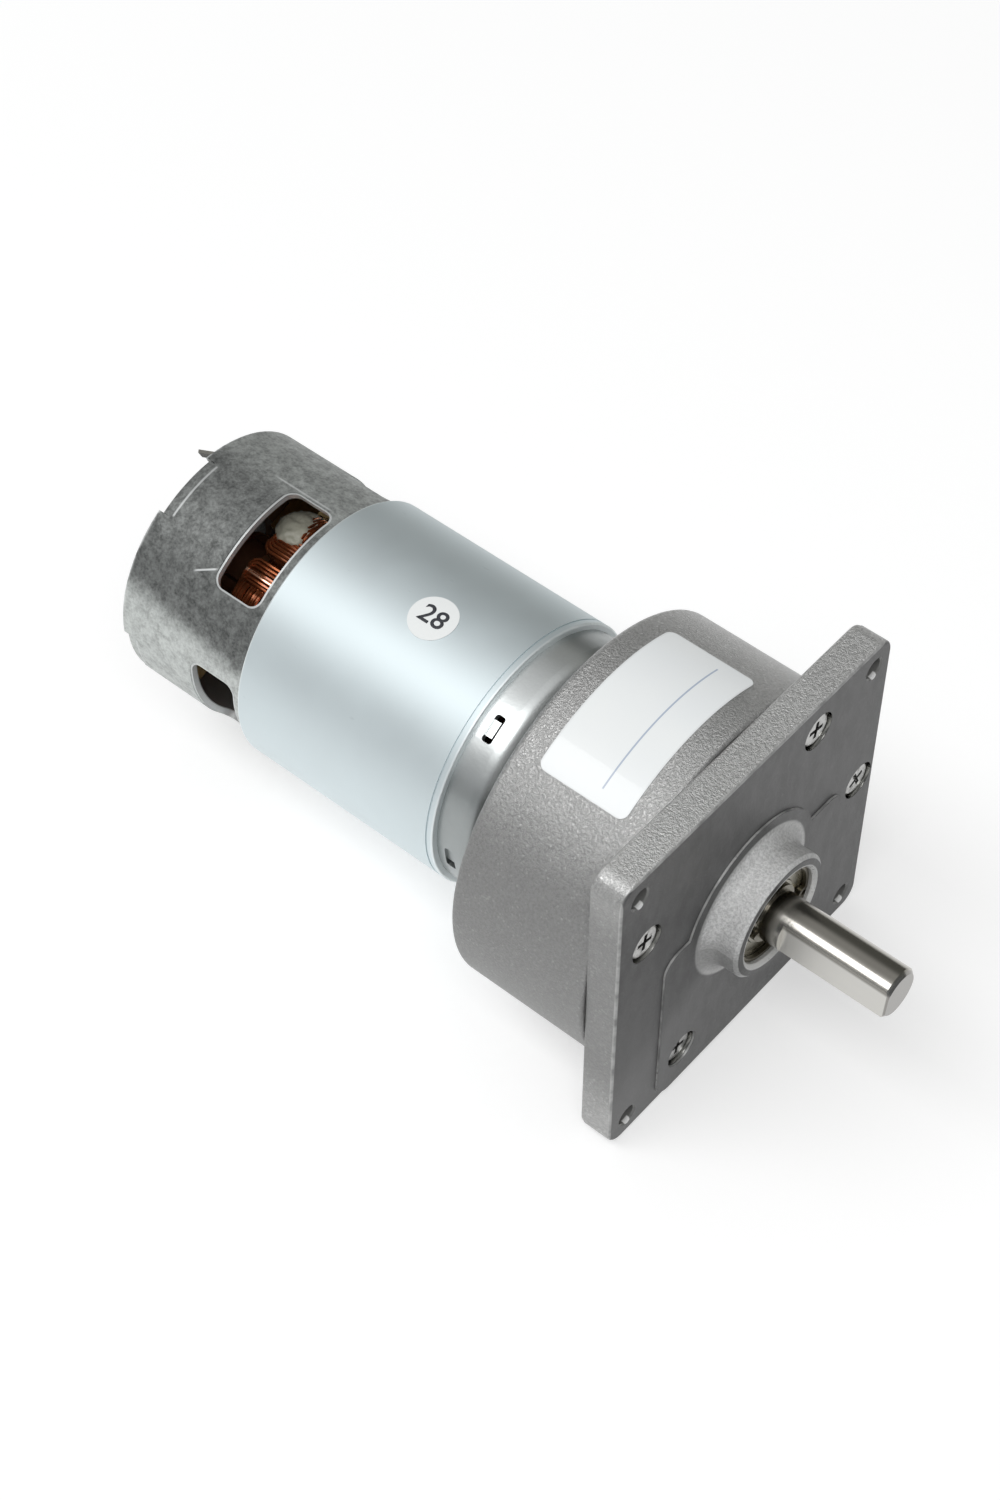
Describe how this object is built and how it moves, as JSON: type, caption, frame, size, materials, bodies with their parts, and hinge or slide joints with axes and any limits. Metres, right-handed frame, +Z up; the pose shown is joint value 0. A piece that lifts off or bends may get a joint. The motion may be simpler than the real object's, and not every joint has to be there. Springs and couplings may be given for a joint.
{
  "type": "dc gear motor",
  "caption": "Brushed DC motor in a steel can with a coaxial spur gearbox, a square mounting flange and a D-cut output shaft.",
  "frame": {"origin": "centre of the flange's front face, on the output shaft's axis", "axes": "+X out along the output shaft, +Z up with the rating label on top, +Y to the side"},
  "size_m": [0.1357, 0.061, 0.0611],
  "materials": {
    "cast_flange": "fine-blasted die casting, smooth dark grey front face",
    "cast_housing": "sand-blasted die casting, warm grey",
    "screw_steel": "bright nickel-plated",
    "polished_shaft": "ground and polished",
    "galvanised_can": "mottled galvanised sheet",
    "plated_ring": "satin zinc plating, slightly blue",
    "bearing_steel": "ground steel with a film of grease",
    "cage_nylon": "moulded nylon",
    "spring_steel": "blackened spring steel",
    "bush_bronze": "oil-filled sintered bronze",
    "gear_steel": "hobbed steel with grease",
    "pinion_brass": "cut brass",
    "ferrite": "ground ferrite, matt dark grey",
    "lamination_steel": "stacked laminations, varnished",
    "red_fibre": "vulcanised fibre",
    "copper_wire": "enamelled copper wire",
    "cream_putty": "hard resin putty",
    "phenolic": "moulded phenolic",
    "commutator_copper": "turned copper",
    "carbon": "pressed graphite",
    "holder_brass": "folded brass strip",
    "tinned_terminal": "tinned brass",
    "label_film": "glossy white film",
    "sticker_paper": "white paper"
  },
  "bodies": {
    "housing": {"front_flange": "cast_flange", "flange_screws": "screw_steel", "gear_housing": "cast_housing", "front_bearing_outer_ring": "bearing_steel", "front_bearing_shields": "bearing_steel", "rear_bearing_outer_ring": "bearing_steel", "rear_bearing_shields": "bearing_steel", "bearing_spacer": "spring_steel", "bore_circlip": "spring_steel", "idler_pin_a": "polished_shaft", "idler_pin_b": "polished_shaft", "idler_sleeves_a": "bush_bronze", "idler_sleeves_b": "bush_bronze", "motor_can": "galvanised_can", "flux_ring": "plated_ring", "magnet_a": "ferrite", "magnet_b": "ferrite", "magnet_clips": "spring_steel", "motor_screws": "screw_steel", "brush_a": "carbon", "brush_b": "carbon", "brush_holder_a": "holder_brass", "brush_holder_b": "holder_brass", "brush_spring_a": "spring_steel", "brush_spring_b": "spring_steel", "brush_card": "phenolic", "rear_cover": "galvanised_can", "terminal_a": "tinned_terminal", "terminal_b": "tinned_terminal", "front_bush": "bush_bronze", "rear_bush": "bush_bronze", "rating_label": "label_film", "round_sticker": "sticker_paper"},
    "armature": {"armature_shaft": "polished_shaft", "armature_core": "lamination_steel", "insulator_front": "red_fibre", "insulator_back": "red_fibre", "armature_windings": "copper_wire", "balance_putty": "cream_putty", "commutator_hub": "phenolic", "commutator_bars": "commutator_copper", "shaft_sleeve": "phenolic", "thrust_washers": "red_fibre", "motor_pinion": "pinion_brass"},
    "idler_a": {"idler_gear_a": "gear_steel"},
    "idler_b": {"idler_gear_b": "gear_steel"},
    "output": {"output_shaft": "polished_shaft", "output_gear": "gear_steel", "output_gear_key": "polished_shaft", "output_gear_spacer": "gear_steel", "front_bearing_inner_ring": "bearing_steel", "rear_bearing_inner_ring": "bearing_steel", "shaft_snap_ring": "spring_steel"},
    "front_ball_set": {"front_bearing_balls": "bearing_steel", "front_bearing_cage": "cage_nylon"},
    "rear_ball_set": {"rear_bearing_balls": "bearing_steel", "rear_bearing_cage": "cage_nylon"}
  },
  "joints": [
    {"name": "armature_spin", "type": "hinge", "parent": "housing", "child": "armature", "pos_m": [0, 0, 0], "axis": [1, 0, 0], "continuous": true},
    {"name": "idler_a_spin", "type": "hinge", "parent": "housing", "child": "idler_a", "pos_m": [0, 0, -0.0145], "axis": [1, 0, 0], "continuous": true},
    {"name": "idler_b_spin", "type": "hinge", "parent": "housing", "child": "idler_b", "pos_m": [0, 0.01256, -0.00725], "axis": [1, 0, 0], "continuous": true},
    {"name": "output_spin", "type": "hinge", "parent": "housing", "child": "output", "pos_m": [0, 0, 0], "axis": [1, 0, 0], "continuous": true},
    {"name": "front_ball_set_spin", "type": "hinge", "parent": "housing", "child": "front_ball_set", "pos_m": [0, 0, 0], "axis": [1, 0, 0], "continuous": true},
    {"name": "rear_ball_set_spin", "type": "hinge", "parent": "housing", "child": "rear_ball_set", "pos_m": [0, 0, 0], "axis": [1, 0, 0], "continuous": true}
  ],
  "couplings": [
    {"joint": "idler_a_spin", "follows": "armature_spin", "ratio": -0.31818},
    {"joint": "idler_b_spin", "follows": "armature_spin", "ratio": 0.10124},
    {"joint": "output_spin", "follows": "armature_spin", "ratio": -0.032213},
    {"joint": "front_ball_set_spin", "follows": "armature_spin", "ratio": -0.013019},
    {"joint": "rear_ball_set_spin", "follows": "armature_spin", "ratio": -0.013019}
  ]
}
